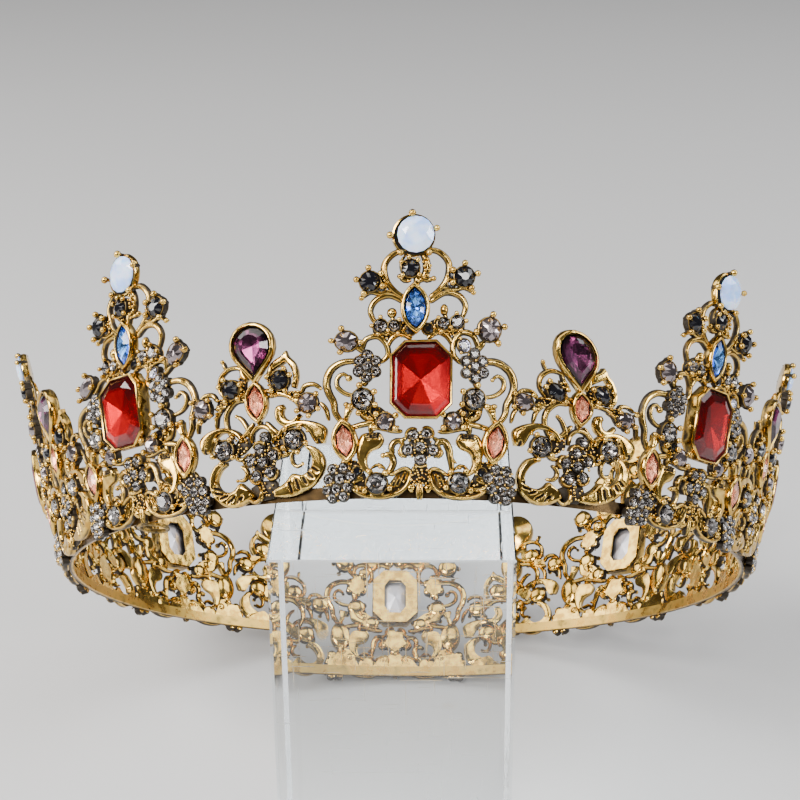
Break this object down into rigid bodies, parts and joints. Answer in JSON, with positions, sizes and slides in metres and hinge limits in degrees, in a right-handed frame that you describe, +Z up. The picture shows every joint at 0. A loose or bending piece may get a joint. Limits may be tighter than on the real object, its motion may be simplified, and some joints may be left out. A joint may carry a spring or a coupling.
{
  "type": "baroque crown on clear display block",
  "caption": "Round crown of cast openwork baroque peaks on a flat hoop, set with coloured glass stones, leaning front up on a clear square display block.",
  "frame": {"origin": "centre of the display block's base, on the floor", "axes": "+Z up, -Y towards the viewer and the block, +Y towards the low back of the crown, +X to the viewer's right"},
  "size_m": [0.1996, 0.1905, 0.1676],
  "materials": {
    "cast_gold": "antique",
    "hoop_bronze": "antique",
    "clear_acrylic": "polished",
    "opal_glass": "polished",
    "blue_glass": "polished",
    "red_glass": "polished",
    "purple_glass": "polished",
    "pink_glass": "polished",
    "black_glass": "polished",
    "hematite_glass": "polished",
    "grey_glass": "polished"
  },
  "bodies": {
    "root": {"base_hoop": "hoop_bronze", "display_block": "clear_acrylic", "large_peak_1": "cast_gold", "large_peak_2": "cast_gold", "large_peak_3": "cast_gold", "large_peak_4": "cast_gold", "large_peak_5": "cast_gold", "large_peak_6": "cast_gold", "large_peak_7": "cast_gold", "large_peak_8": "cast_gold", "small_peak_1": "cast_gold", "small_peak_2": "cast_gold", "small_peak_3": "cast_gold", "small_peak_4": "cast_gold", "small_peak_5": "cast_gold", "small_peak_6": "cast_gold", "small_peak_7": "cast_gold", "small_peak_8": "cast_gold", "opal_stone_1": "opal_glass", "opal_stone_2": "opal_glass", "opal_stone_3": "opal_glass", "opal_stone_4": "opal_glass", "opal_stone_5": "opal_glass", "opal_stone_6": "opal_glass", "opal_stone_7": "opal_glass", "opal_stone_8": "opal_glass", "blue_stone_1": "blue_glass", "blue_stone_2": "blue_glass", "blue_stone_3": "blue_glass", "blue_stone_4": "blue_glass", "blue_stone_5": "blue_glass", "blue_stone_6": "blue_glass", "blue_stone_7": "blue_glass", "blue_stone_8": "blue_glass", "red_stone_1": "red_glass", "red_stone_2": "red_glass", "red_stone_3": "red_glass", "red_stone_4": "red_glass", "red_stone_5": "red_glass", "red_stone_6": "red_glass", "red_stone_7": "red_glass", "red_stone_8": "red_glass", "purple_stone_1": "purple_glass", "purple_stone_2": "purple_glass", "purple_stone_3": "purple_glass", "purple_stone_4": "purple_glass", "purple_stone_5": "purple_glass", "purple_stone_6": "purple_glass", "purple_stone_7": "purple_glass", "purple_stone_8": "purple_glass", "pink_stones": "pink_glass", "black_stones": "black_glass", "hematite_stones": "hematite_glass", "grey_stones": "grey_glass"}
  },
  "joints": []
}
